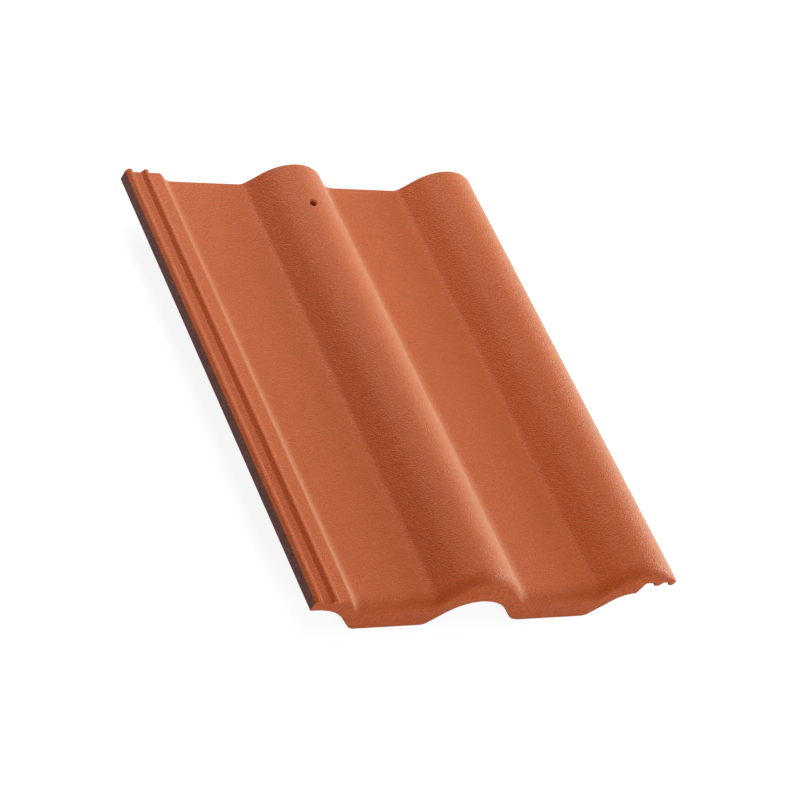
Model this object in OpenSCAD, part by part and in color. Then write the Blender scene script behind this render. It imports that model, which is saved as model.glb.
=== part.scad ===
// Interlocking double-roll roof tile, cast in one piece.
// X runs across the tile from the side lock to the side cover, Y from the front edge to the head, Z up.

/* [Cover] */
// Width that one tile covers once it is locked to its neighbour
cover_w = 300; // [280:1:330]
// Length of the tile from front edge to head
tile_l = 420; // [380:1:460]
// Thickness of the tile behind its front lip
body_t = 13; // [10:0.5:14]

/* [Rolls] */
// Width of a roll between the pans
roll_w = 80.2; // [78:0.2:88]
// Outer radius of a roll's crest
crest_r = 37.5; // [32:0.5:42]
// Steepness of a roll's sides, in degrees
roll_slope = 47; // [44:1:52]
// Radius where a roll's left side runs out into a pan
foot_r = 9; // [6:0.5:14]
// Radius where a roll's right side runs out into a pan
far_foot_r = 16; // [9:0.5:18]

/* [Front lip] */
// Height of the front face, from a pan down to the surface that the tile rests on
lip_h = 25; // [20:0.5:30]
// Depth of the lip behind the front face
lip_l = 28; // [20:1:40]
// Length of the slope from the lip up to the tile's even thickness
lip_slope_l = 8; // [4:1:16]
// Length over which the nose rounds off
nose_l = 13; // [6:1:18]
// Drop of the nose at the front face
nose_drop = 7.5; // [4:0.5:9]
// Drop of the nose at the side lock and at the cover's outer edge
side_drop = 1.1; // [0.5:0.1:2]
// Sideways room between the lip and the neighbour's roll on the tile below
nest_gap = 4.5; // [2:0.5:6]
// Slant of the lip's end beside the neighbour's lock
lip_draft_w = 3; // [1:0.5:4]

/* [Side lock] */
// Height of the groove floors above the pans
lock_rise = 8.7; // [7:0.1:10]
// Thickness of the tile below the grooves
lock_t = 8.7; // [6:0.1:10]
// Height of the two ribs above the groove floors
rib_h = 3.7; // [3:0.1:5]
// Width of the outer rib's flat top
outer_rib_w = 2.9; // [2.5:0.1:5]
// Width of the inner rib's flat top
inner_rib_w = 2.5; // [2:0.1:4]
// Steepness of the ribs' sides, in degrees
rib_slope = 58; // [50:1:65]
// Width of the groove floor between the ribs
groove_w = 6.9; // [5:0.1:8]
// Width of the ledge between the inner rib and the slope to the pan
ledge_w = 10.9; // [9:0.1:13]
// Steepness of the slope from the ledge to the pan, in degrees
ledge_slope = 41; // [35:1:50]
// Width of the outer rib's bevelled edge
rib_bevel_w = 2.2; // [1:0.1:2.5]
// Height of the outer rib's bevelled edge
rib_bevel_h = 2.7; // [1.5:0.1:3]
// Rounding of the ribs' upper edges
rib_r = 1.2; // [0.6:0.1:1.3]
// Rounding of the teeth and of the lock's other corners
lock_r = 0.7; // [0.3:0.1:0.9]
// Rounding of the ledge's edge
ledge_r = 3; // [1:0.5:5]
// Radius where the slope from the ledge runs out into the pan
ledge_foot_r = 10; // [4:0.5:12]

/* [Side cover] */
// Height that the cover's teeth and hollows keep above the neighbour's lock
lock_gap = 0.5; // [0.3:0.1:1.5]
// Sideways play of the teeth in the neighbour's grooves
side_play = 1.2; // [0.8:0.1:1.6]
// Width of the outer tooth at its tip
edge_w = 4.6; // [3.5:0.1:6.5]
// Distance of the right crest from the cover's outer edge
crest_to_edge = 26; // [24.5:0.1:28]
// Slant of the cover's outer edge
draft_w = 0.9; // [0.6:0.1:1.6]

/* [Nail hole] */
// Diameter of the hole
nail_d = 6; // [4:0.1:7]
// Distance of the hole from the head
nail_from_head = 42.4; // [32:0.2:60]
// Distance of the hole from the left roll's crest, towards the side lock
nail_off_crest = 1.8; // [0:0.1:4]
// Depth of the dished mouth of the hole
sink_depth = 0.6; // [0.4:0.1:1.5]
// Width of the dished mouth around the hole
sink_w = 1.5; // [1:0.1:2.5]

/* [Hanging nibs] */
// Width of a nib across the tile
nib_w = 34; // [20:1:44]
// Length of a nib where it meets the tile
nib_l = 24; // [16:1:32]
// Length of a nib at its foot
nib_foot_l = 15; // [10:1:16]
// Distance of the nibs from the head
nib_from_head = 6; // [2:1:12]

/* [Hidden] */
coat = "#b9603c";
crest_n = 24;
turn_n = 10;
foot_n = 8;
edge_n = 2;
rib_n = 4;
nose_n = 10;
overlap = 1;
trim_l = 5;
flat_step = 1;

y_front = -tile_l / 2;
y_head = tile_l / 2;
y_lip = y_front + lip_l;

// Heights
z_pan = lip_h;
foot_run = roll_w / 2;
z_apex = z_pan + foot_run * tan(roll_slope);
z_crest = z_apex - crest_r * (1 / cos(roll_slope) - 1);
roll_h = z_crest - z_pan;
z_groove = z_pan + lock_rise;
z_rib = z_groove + rib_h;
z_lock = z_groove - lock_t;
z_tooth = z_groove + lock_gap;
z_recess = z_rib + lock_gap;

// Distances of the lock's corners from the left side face
rib_run = rib_h / tan(rib_slope);
outer_rib_end = rib_bevel_w + outer_rib_w;
groove_start = outer_rib_end + rib_run;
groove_end = groove_start + groove_w;
inner_rib_start = groove_end + rib_run;
inner_rib_end = inner_rib_start + inner_rib_w;
ledge_start = inner_rib_end + rib_run;
ledge_end = ledge_start + ledge_w;
pan_start = ledge_end + lock_rise / tan(ledge_slope);

// Places across the tile; the neighbour's lock lies one cover width to the right of this tile's own
overall_w = cover_w + ledge_start + side_play + edge_w;
x_left = -overall_w / 2;
x_right = overall_w / 2;
x_next = x_left + cover_w;
roll_pitch = cover_w / 2;
crest_2 = x_right - crest_to_edge;
crest_1 = crest_2 - roll_pitch;
crest_0 = crest_1 - roll_pitch;
pan_1_mid = (x_left + pan_start + crest_1 - foot_run) / 2;
pan_2_mid = (crest_1 + crest_2) / 2;
nail_x = crest_1 - nail_off_crest;
nail_y = y_head - nail_from_head;
nail_z = z_crest - crest_r + sqrt(pow(crest_r, 2) - pow(nail_off_crest, 2));

// Right side of the right roll, which a large crest radius cuts off before it is as steep as the other sides
edge_slope = min(roll_slope, asin((crest_to_edge - lock_r) / crest_r));
z_edge_apex = z_crest + crest_r * (1 / cos(edge_slope) - 1);
edge_shift = (z_edge_apex - z_apex) / (tan(roll_slope) + tan(edge_slope));
z_edge = z_edge_apex - crest_to_edge * tan(edge_slope);

function unit(v) = v / norm(v);

// Points that round off corner b between a and c; a corner is [x, z, radius, arc steps]
function corner_arc(a, b, c) =
    let (p = [b[0], b[1]], r = b[2], n = b[3])
    n == 0 ? [p] :
    let (
        to_a = unit([a[0], a[1]] - p),
        to_c = unit([c[0], c[1]] - p),
        half = acos(to_a * to_c) / 2,
        centre = p + unit(to_a + to_c) * r / sin(half),
        from = p + to_a * r / tan(half) - centre,
        sweep = (180 - 2 * half) * sign(cross(-to_a, to_c)),
        first = atan2(from[1], from[0])
    )
    [for (k = [0 : n]) centre + r * [cos(first + sweep * k / n), sin(first + sweep * k / n)]];

// Rounded points of corners number first to last of a closed outline
function rounded(loop, first, last) = [
    for (i = [first : last])
        each corner_arc(loop[(i + len(loop) - 1) % len(loop)], loop[i], loop[(i + 1) % len(loop)])
];

// Weather side, from the left side face over both rolls to the outer edge of the cover
top_corners = [
    [x_left, z_rib - rib_bevel_h, 0, 0],
    [x_left + rib_bevel_w, z_rib, rib_r, rib_n],
    [x_left + outer_rib_end, z_rib, rib_r, rib_n],
    [x_left + groove_start, z_groove, lock_r, edge_n],
    [x_left + groove_end, z_groove, lock_r, edge_n],
    [x_left + inner_rib_start, z_rib, rib_r, rib_n],
    [x_left + inner_rib_end, z_rib, rib_r, rib_n],
    [x_left + ledge_start, z_groove, lock_r, edge_n],
    [x_left + ledge_end, z_groove, ledge_r, rib_n],
    [x_left + pan_start, z_pan, ledge_foot_r, rib_n],
    [crest_1 - foot_run, z_pan, foot_r, foot_n],
    [crest_1, z_apex, crest_r, crest_n],
    [crest_1 + foot_run, z_pan, far_foot_r, foot_n],
    [crest_2 - foot_run, z_pan, foot_r, foot_n],
    [crest_2 + edge_shift, z_edge_apex - edge_shift * tan(edge_slope), crest_r, crest_n],
    [x_right, z_edge, lock_r, edge_n]
];

// Underside of the cover, from its outer edge to the hollow over the neighbour's outer rib
hollow_end = x_next + outer_rib_end + side_play;
lip_end = x_next - side_play;
cover_corners = [
    [x_right - draft_w, z_tooth, lock_r, edge_n],
    [x_next + ledge_start + side_play, z_tooth, lock_r, edge_n],
    [x_next + inner_rib_end + side_play, z_recess, lock_r, edge_n],
    [x_next + inner_rib_start - side_play, z_recess, lock_r, edge_n],
    [x_next + groove_end - side_play, z_tooth, lock_r, edge_n],
    [x_next + groove_start + side_play, z_tooth, lock_r, edge_n],
    [hollow_end, z_recess, lock_r, edge_n]
];

// Underside at the tile's even thickness, from the cover to the left side face
z_under = z_pan - body_t;
under_run = foot_run - body_t * tan(roll_slope / 2);
turn_x = crest_2 - under_run + (z_recess - z_under) / tan(roll_slope);
turn_r = min(crest_r - body_t, (lip_end - 2 * flat_step - turn_x) / tan(roll_slope / 2));
under_pan = x_left + pan_start + body_t * tan(ledge_slope / 2);
even_corners = [
    [lip_end, z_recess, 0, 0],
    [lip_end - flat_step, z_recess, 0, 0],
    [turn_x, z_recess, turn_r, turn_n],
    [crest_2 - under_run, z_under, foot_r + body_t, foot_n],
    [crest_1 + under_run, z_under, far_foot_r + body_t, foot_n],
    [crest_1, z_apex - body_t / cos(roll_slope), crest_r - body_t, crest_n],
    [crest_1 - under_run, z_under, foot_r + body_t, foot_n],
    [under_pan, z_under, foot_r, foot_n],
    [under_pan - (z_lock - z_under) / tan(ledge_slope), z_lock, foot_r, turn_n],
    [x_left, z_lock, lock_r, edge_n]
];

// Underside of the lip, which repeats the weather side so that it sits on the tile below
lip_turn_x = crest_2 - foot_run + roll_h / tan(roll_slope);
lip_turn_r = min(crest_r, (lip_end - lip_draft_w - flat_step - lip_turn_x) / tan(roll_slope / 2));
nest_foot = crest_0 + nest_gap + foot_run;
lip_corners = [
    [lip_end, z_recess, 0, 0],
    [lip_end - lip_draft_w, roll_h, 0, 0],
    [lip_turn_x, roll_h, lip_turn_r, turn_n],
    [crest_2 - foot_run, 0, foot_r, foot_n],
    [crest_1 + foot_run, 0, far_foot_r, foot_n],
    [crest_1, z_apex - lip_h, crest_r, crest_n],
    [crest_1 - foot_run, 0, foot_r, foot_n],
    [nest_foot, 0, foot_r, foot_n],
    [nest_foot - z_lock / tan(roll_slope), z_lock, crest_r, turn_n],
    [x_left, z_lock, lock_r, edge_n]
];

// Drop of the nose across the tile
function front_drop(x) = lookup(x, [
    [x_left, side_drop],
    [x_left + ledge_end, side_drop],
    [x_left + pan_start, nose_drop],
    [crest_2, nose_drop],
    [x_right, side_drop]
]);

// Cross-section of the tile at place y, with the weather side lowered by a share of the nose's drop
function section_at(y, share, under) =
    let (
        loop = concat(top_corners, cover_corners, under),
        last = len(top_corners) - 1
    )
    concat(
        [for (p = rounded(loop, 0, last)) [p[0], y, p[1] - share * front_drop(p[0])]],
        [for (p = rounded(loop, last + 1, len(loop) - 1)) [p[0], y, p[1]]]
    );

// Sections from the front to the head, with a little to trim at both ends; the nose is a quarter of an ellipse
sections = concat(
    [section_at(y_front - trim_l, 1, lip_corners)],
    [for (k = [0 : nose_n])
        let (turn = 90 * k / nose_n)
            section_at(y_front + nose_l * (1 - cos(turn)), 1 - sin(turn), lip_corners)],
    [
        section_at(y_lip, 0, lip_corners),
        section_at(y_lip + lip_slope_l, 0, even_corners),
        section_at(y_head + trim_l, 0, even_corners)
    ]
);

module loft(rings) {
    n = len(rings[0]);
    last = len(rings) - 1;
    walls = [
        for (k = [0 : last - 1], i = [0 : n - 1])
            let (a = k * n + i, b = k * n + (i + 1) % n)
                each [[a, b + n, b], [a, a + n, b + n]]
    ];
    front = [for (i = [0 : n - 1]) i];
    back = [for (i = [n - 1 : -1 : 0]) last * n + i];
    polyhedron([for (ring = rings) each ring], concat(walls, [front, back]));
}

// Cuts both ends square, at the front face and at the head
module trimmed() {
    intersection() {
        children();
        translate([-overall_w, y_front, -trim_l])
            cube([2 * overall_w, tile_l, z_crest + 2 * trim_l]);
    }
}

// Lug that hangs over the batten: upright towards the front, sloped towards the head
module nib(x) {
    y_back = y_head - nib_from_head;
    y_bearing = y_back - nib_l;
    z_top = z_pan - body_t + overlap;
    translate([x - nib_w / 2, 0, 0])
        rotate([90, 0, 90])
            linear_extrude(nib_w)
                polygon([[y_bearing, 0], [y_bearing + nib_foot_l, 0], [y_back, z_top], [y_bearing, z_top]]);
}

module nail_hole() {
    translate([nail_x, nail_y, z_lock])
        cylinder(h = z_apex - z_lock, d = nail_d, $fn = 48);
    translate([nail_x, nail_y, nail_z - sink_depth])
        cylinder(h = 2 * sink_depth, d1 = nail_d, d2 = nail_d + 4 * sink_w, $fn = 48);
}

module roof_tile() {
    color(coat)
        difference() {
            union() {
                trimmed()
                    loft(sections);
                nib(pan_1_mid);
                nib(pan_2_mid);
            }
            nail_hole();
        }
}

roof_tile();
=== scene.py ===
from math import cos, radians, sin

import bmesh
import bpy
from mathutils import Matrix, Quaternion, Vector, noise


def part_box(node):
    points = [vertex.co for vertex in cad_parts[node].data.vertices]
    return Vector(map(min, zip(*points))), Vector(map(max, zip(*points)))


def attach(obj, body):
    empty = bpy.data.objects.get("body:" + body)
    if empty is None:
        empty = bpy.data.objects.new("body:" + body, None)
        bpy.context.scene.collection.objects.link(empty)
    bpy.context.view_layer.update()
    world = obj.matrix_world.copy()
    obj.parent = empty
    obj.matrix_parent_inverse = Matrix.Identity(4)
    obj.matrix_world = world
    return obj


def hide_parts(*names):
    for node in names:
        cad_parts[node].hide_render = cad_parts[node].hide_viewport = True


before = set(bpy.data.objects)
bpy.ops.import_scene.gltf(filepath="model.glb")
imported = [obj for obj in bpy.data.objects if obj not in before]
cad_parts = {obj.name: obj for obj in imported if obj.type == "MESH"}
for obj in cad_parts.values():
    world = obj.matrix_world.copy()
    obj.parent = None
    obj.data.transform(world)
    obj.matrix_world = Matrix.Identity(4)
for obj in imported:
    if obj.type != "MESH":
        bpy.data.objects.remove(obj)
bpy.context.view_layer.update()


class Wire:  # a node's output that can be used in sums
    def __init__(self, tree, socket=None):
        self.tree = tree
        self.socket = socket

    def add(self, kind, settings=None, sockets=None, out=0):
        node = self.tree.nodes.new(kind)
        for name, value in (settings or {}).items():
            setattr(node, name, value)
        for name, value in (sockets or {}).items():
            if isinstance(value, Wire):
                self.tree.links.new(value.socket, node.inputs[name])
            else:
                node.inputs[name].default_value = value
        return Wire(self.tree, node.outputs[out] if node.outputs else None)

    def maths(self, operation, first, second):
        return self.add("ShaderNodeMath", {"operation": operation}, {0: first, 1: second})

    def __add__(self, other):
        return self.maths("ADD", self, other)

    def __radd__(self, other):
        return self.maths("ADD", other, self)

    def __sub__(self, other):
        return self.maths("SUBTRACT", self, other)

    def __rsub__(self, other):
        return self.maths("SUBTRACT", other, self)

    def __mul__(self, other):
        return self.maths("MULTIPLY", self, other)

    def __rmul__(self, other):
        return self.maths("MULTIPLY", other, self)


def newMaterial(name):
    material = bpy.data.materials.new(name)
    material.use_nodes = True
    material.node_tree.nodes.clear()
    return material, Wire(material.node_tree)


def colourMix(wire, factor, first, second):
    return wire.add("ShaderNodeMix", {"data_type": "RGBA"},
                    {0: factor, 6: first, 7: second}, out=2)  # the node's colour sockets


def noiseOf(wire, place, scale, detail, roughness):
    return wire.add("ShaderNodeTexNoise", {}, {
        "Vector": place, "Scale": scale, "Detail": detail, "Roughness": roughness})


def bumpOf(wire, height, distance):
    return wire.add("ShaderNodeBump", {}, {
        "Height": height, "Distance": distance, "Strength": 1.0})


coat = {
    "pit": (0.383, 0.0577, 0.0095, 1.0),
    "face": (0.531, 0.0799, 0.0132, 1.0),
    "grain": 850.0, "grainDetail": 1.5, "grainShade": 3.0,  # sand under the colour
    "drift": 14.0, "driftDetail": 2.0, "driftShade": 0.35,  # slow change over the tile
    "fineness": 0.5, "bump": 0.0007,
    "roughness": 0.5, "specular": 0.22, "glossTint": (1.0, 1.0, 0.66, 1.0),
    "sheen": 0.29, "sheenTint": (0.76, 0.98, 0.60, 1.0),
}

struckFront = {  # the front face is a little coarser and duller
    **coat, "grain": 420.0, "roughness": 0.6, "specular": 0.15, "sheen": 0.23,
}


def makeCoat(name, look):
    material, wire = newMaterial(name)
    place = wire.add("ShaderNodeTexCoord", out="Object")
    grain = noiseOf(wire, place, look["grain"], look["grainDetail"], look["fineness"])
    drift = noiseOf(wire, place, look["drift"], look["driftDetail"], look["fineness"])
    shade = 0.5 + (grain - 0.5) * look["grainShade"] + (drift - 0.5) * look["driftShade"]
    shader = wire.add("ShaderNodeBsdfPrincipled", {}, {
        "Base Color": colourMix(wire, shade, look["pit"], look["face"]),
        "Roughness": look["roughness"],
        "Specular IOR Level": look["specular"], "Specular Tint": look["glossTint"],
        "Sheen Weight": look["sheen"], "Sheen Tint": look["sheenTint"],
        "Normal": bumpOf(wire, grain, look["bump"])})
    wire.add("ShaderNodeOutputMaterial", {}, {"Surface": shader})
    return material


bare = {
    "cement": (0.135, 0.058, 0.051, 1.0),
    "sand": (0.232, 0.101, 0.087, 1.0),
    "grain": 480.0, "grainDetail": 3.0, "grainShade": 3.0, "fineness": 0.6, "bump": 0.0003,
    "roughness": 0.9, "specular": 0.2,
}


def makeBare():
    material, wire = newMaterial("bare concrete")
    place = wire.add("ShaderNodeTexCoord", out="Object")
    grain = noiseOf(wire, place, bare["grain"], bare["grainDetail"], bare["fineness"])
    shade = 0.5 + (grain - 0.5) * bare["grainShade"]
    shader = wire.add("ShaderNodeBsdfPrincipled", {}, {
        "Base Color": colourMix(wire, shade, bare["cement"], bare["sand"]),
        "Roughness": bare["roughness"], "Specular IOR Level": bare["specular"],
        "Normal": bumpOf(wire, grain, bare["bump"])})
    wire.add("ShaderNodeOutputMaterial", {}, {"Surface": shader})
    return material


tile = {
    "weld": 1e-5, "flat": radians(0.3),  # merges the loose triangles of the CAD copy
    "arris": 0.0005, "arrisAngle": radians(55), "arrisSteps": 2,  # broken edges
    "pitch": 0.0020, "rowPitch": 0.0024, "frontPitch": 0.0024,  # cuts across, along and up
    "cutTouch": 1e-6, "headBand": 0.0008, "headSlope": 0.2,  # where the cuts across are read
    "relief": ((0.0060, 0.00006), (0.0040, 0.00003)),  # length and depth of each unevenness
    "smooth": radians(18),
    "coatLine": 0.0347, "lockX": -0.16,  # the left side is bare below the outer rib
    "nibTop": 0.0125, "headDepth": 0.001,
}

facing = {  # least share of a normal that makes a face count as turned that way
    "up": 0.05, "down": 0.2, "left": 0.9, "head": 0.7,
    "front": 0.5, "flatFront": 0.9, "struck": 0.97,
}


def mergedCopy():
    mesh = bmesh.new()
    mesh.from_mesh(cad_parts["roof_tile"].data)
    bmesh.ops.remove_doubles(mesh, verts=mesh.verts, dist=tile["weld"])
    bmesh.ops.dissolve_limit(mesh, angle_limit=tile["flat"], verts=mesh.verts, edges=mesh.edges)
    print("merged", len(mesh.verts), len(mesh.faces))
    return mesh


def breakArrises(mesh):
    sharp = [edge for edge in mesh.edges
             if len(edge.link_faces) == 2 and edge.calc_face_angle() > tile["arrisAngle"]]
    bmesh.ops.bevel(mesh, geom=sharp, offset=tile["arris"], segments=tile["arrisSteps"],
                    profile=0.5, affect="EDGES", clamp_overlap=False, material=-1)
    mesh.normal_update()
    print("arrises", len(sharp))


def shownFaces(mesh):
    return [face for face in mesh.faces
            if face.normal.z > facing["up"] or face.normal.y < -facing["front"]]


def cutThrough(mesh, faces, point, normal):
    geom = set(faces)
    for face in faces:
        geom.update(face.edges)
        geom.update(face.verts)
    bmesh.ops.bisect_plane(mesh, geom=list(geom), dist=tile["cutTouch"],
                           plane_co=point, plane_no=normal)


def placesAcross(mesh, headY):
    places = []
    for edge in mesh.edges:  # divides each edge of the section at the head evenly
        first, last = sorted((vert.co for vert in edge.verts), key=lambda co: co.x)
        onHead = min(first.y, last.y) > headY - tile["headBand"]
        if onHead and any(face.normal.z > tile["headSlope"] for face in edge.link_faces):
            count = int((last - first).length / tile["pitch"])
            places += [first.x + (last.x - first.x) * step / count for step in range(1, count)]
    return sorted(places)


def evenPlaces(low, high, pitch):
    count = int((high - low) / pitch)
    return [low + (high - low) * step / count for step in range(1, count)]


def cutFine(mesh, low, high):
    for place in placesAcross(mesh, high.y):
        cutThrough(mesh, shownFaces(mesh), Vector((place, 0, 0)), Vector((1, 0, 0)))
    for place in evenPlaces(low.y, high.y, tile["rowPitch"]):
        crossed = [face for face in mesh.faces if face.normal.z > facing["up"]
                   and any(vert.co.y > place for vert in face.verts)
                   and any(vert.co.y < place for vert in face.verts)]
        cutThrough(mesh, crossed, Vector((0, place, 0)), Vector((0, 1, 0)))
    for place in evenPlaces(low.z, high.z, tile["frontPitch"]):
        front = [face for face in mesh.faces if face.normal.y < -facing["flatFront"]]
        cutThrough(mesh, front, Vector((0, 0, place)), Vector((0, 0, 1)))
    mesh.normal_update()
    print("cut fine", len(mesh.faces))


def addRelief(mesh):
    for vert in {vert for face in shownFaces(mesh) for vert in face.verts}:
        lift = sum(depth * noise.noise(vert.co / length) for length, depth in tile["relief"])
        vert.co += vert.normal * lift


def finishIndex(face, headY):
    centre = face.calc_center_median()
    side = (face.normal.x < -facing["left"] and centre.z < tile["coatLine"]
            and centre.x < tile["lockX"])
    head = face.normal.y > facing["head"] and centre.y > headY - tile["headDepth"]
    nib = centre.y > 0 and centre.z < tile["nibTop"]
    if side or head or nib or face.normal.z < -facing["down"]:
        return 1
    return 2 if face.normal.y < -facing["struck"] else 0


def makeTile():
    low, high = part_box("roof_tile")
    mesh = mergedCopy()
    breakArrises(mesh)
    cutFine(mesh, low, high)
    for edge in mesh.edges:  # read before the relief, so that creases run straight
        edge.smooth = edge.calc_face_angle(0.0) < tile["smooth"]
    addRelief(mesh)
    for face in mesh.faces:
        face.smooth = True
        face.material_index = finishIndex(face, high.y)
    data = bpy.data.meshes.new("roofTile")
    mesh.to_mesh(data)
    mesh.free()
    data.materials.append(makeCoat("terracotta coat", coat))
    data.materials.append(makeBare())
    data.materials.append(makeCoat("struck front", struckFront))
    piece = bpy.data.objects.new("roofTile", data)
    bpy.context.scene.collection.objects.link(piece)
    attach(piece, "root")
    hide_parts("roof_tile")
    print("tile", len(data.vertices), len(data.polygons), len(data.loop_triangles))


makeTile()

studio = {
    "white": (1.0, 1.0, 1.0, 1.0), "world": 0.19, "backdrop": 1.0,
    "floorSize": 4.0, "floorDrop": 0.0003,  # just under the tile
    "floor": (0.8, 0.8, 0.8, 1.0), "glow": 1.2, "glowShare": 0.75,  # the rest shows the shadow
    "lights": (
        # name, azimuth, elevation, distance, size, watts
        ("right", 94.0, 14.5, 4.0, 2.2, 153.0),
        ("behind", 180.0, 38.0, 2.2, 1.0, 43.0),
        ("front", 0.0, 25.0, 2.2, 1.0, 18.8),
    ),
}


def around(azimuth, elevation):  # azimuth 0 is in front of the tile
    turn, rise = radians(azimuth), radians(elevation)
    return Vector((sin(turn) * cos(rise), -cos(turn) * cos(rise), sin(rise)))


def makeLights():
    for name, azimuth, elevation, distance, size, watts in studio["lights"]:
        lamp = bpy.data.lights.new(name, "AREA")
        lamp.shape = "DISK"
        lamp.size = size
        lamp.energy = watts
        holder = bpy.data.objects.new(name, lamp)
        away = around(azimuth, elevation)
        holder.location = away * distance
        holder.rotation_euler = away.to_track_quat("Z", "Y").to_euler()
        bpy.context.scene.collection.objects.link(holder)


def backdropSeen(wire):
    rays = ("Is Camera Ray", "Is Glossy Ray", "Is Transmission Ray")
    camera, glossy, through = (wire.add("ShaderNodeLightPath", out=ray) for ray in rays)
    return camera + glossy + through


def makeWorld():
    world = bpy.data.worlds.new("studio")
    bpy.context.scene.world = world
    world.use_nodes = True
    world.node_tree.nodes.clear()
    wire = Wire(world.node_tree)
    soft = wire.add("ShaderNodeBackground", {}, {
        "Color": studio["white"], "Strength": studio["world"]})
    bright = wire.add("ShaderNodeBackground", {}, {
        "Color": studio["white"], "Strength": studio["backdrop"]})
    both = wire.add("ShaderNodeMixShader", {}, {0: backdropSeen(wire), 1: soft, 2: bright})
    wire.add("ShaderNodeOutputWorld", {}, {"Surface": both})


def makeFloor():
    mesh = bmesh.new()
    bmesh.ops.create_grid(mesh, x_segments=1, y_segments=1, size=studio["floorSize"])
    bmesh.ops.translate(mesh, verts=mesh.verts, vec=(0, 0, -studio["floorDrop"]))
    data = bpy.data.meshes.new("floor")
    mesh.to_mesh(data)
    mesh.free()
    material, wire = newMaterial("white floor")
    lit = wire.add("ShaderNodeBsdfDiffuse", {}, {"Color": studio["floor"]})
    glow = wire.add("ShaderNodeEmission", {}, {
        "Color": studio["white"], "Strength": studio["glow"]})
    share = backdropSeen(wire) * studio["glowShare"]
    shader = wire.add("ShaderNodeMixShader", {}, {0: share, 1: lit, 2: glow})
    wire.add("ShaderNodeOutputMaterial", {}, {"Surface": shader})
    data.materials.append(material)
    floor = bpy.data.objects.new("floor", data)
    bpy.context.scene.collection.objects.link(floor)


makeLights()
makeWorld()
makeFloor()
print("studio made")

shot = {
    "aim": (0.01245, 0.0001, 0.0100), "azimuth": -47.09, "elevation": 39.16,
    "distance": 2.3633, "roll": 33.93, "lens": 137.59, "sensor": 36.0,
}


def makeCamera():
    lens = bpy.data.cameras.new("camera")
    lens.lens = shot["lens"]
    lens.sensor_width = shot["sensor"]
    camera = bpy.data.objects.new("camera", lens)
    away = around(shot["azimuth"], shot["elevation"])
    camera.location = Vector(shot["aim"]) + away * shot["distance"]
    level = away.to_track_quat("Z", "Y")
    camera.rotation_euler = (level @ Quaternion((0, 0, 1), radians(shot["roll"]))).to_euler()
    bpy.context.scene.collection.objects.link(camera)
    bpy.context.scene.camera = camera


makeCamera()
bpy.context.scene.view_settings.view_transform = "Standard"
print("camera set")
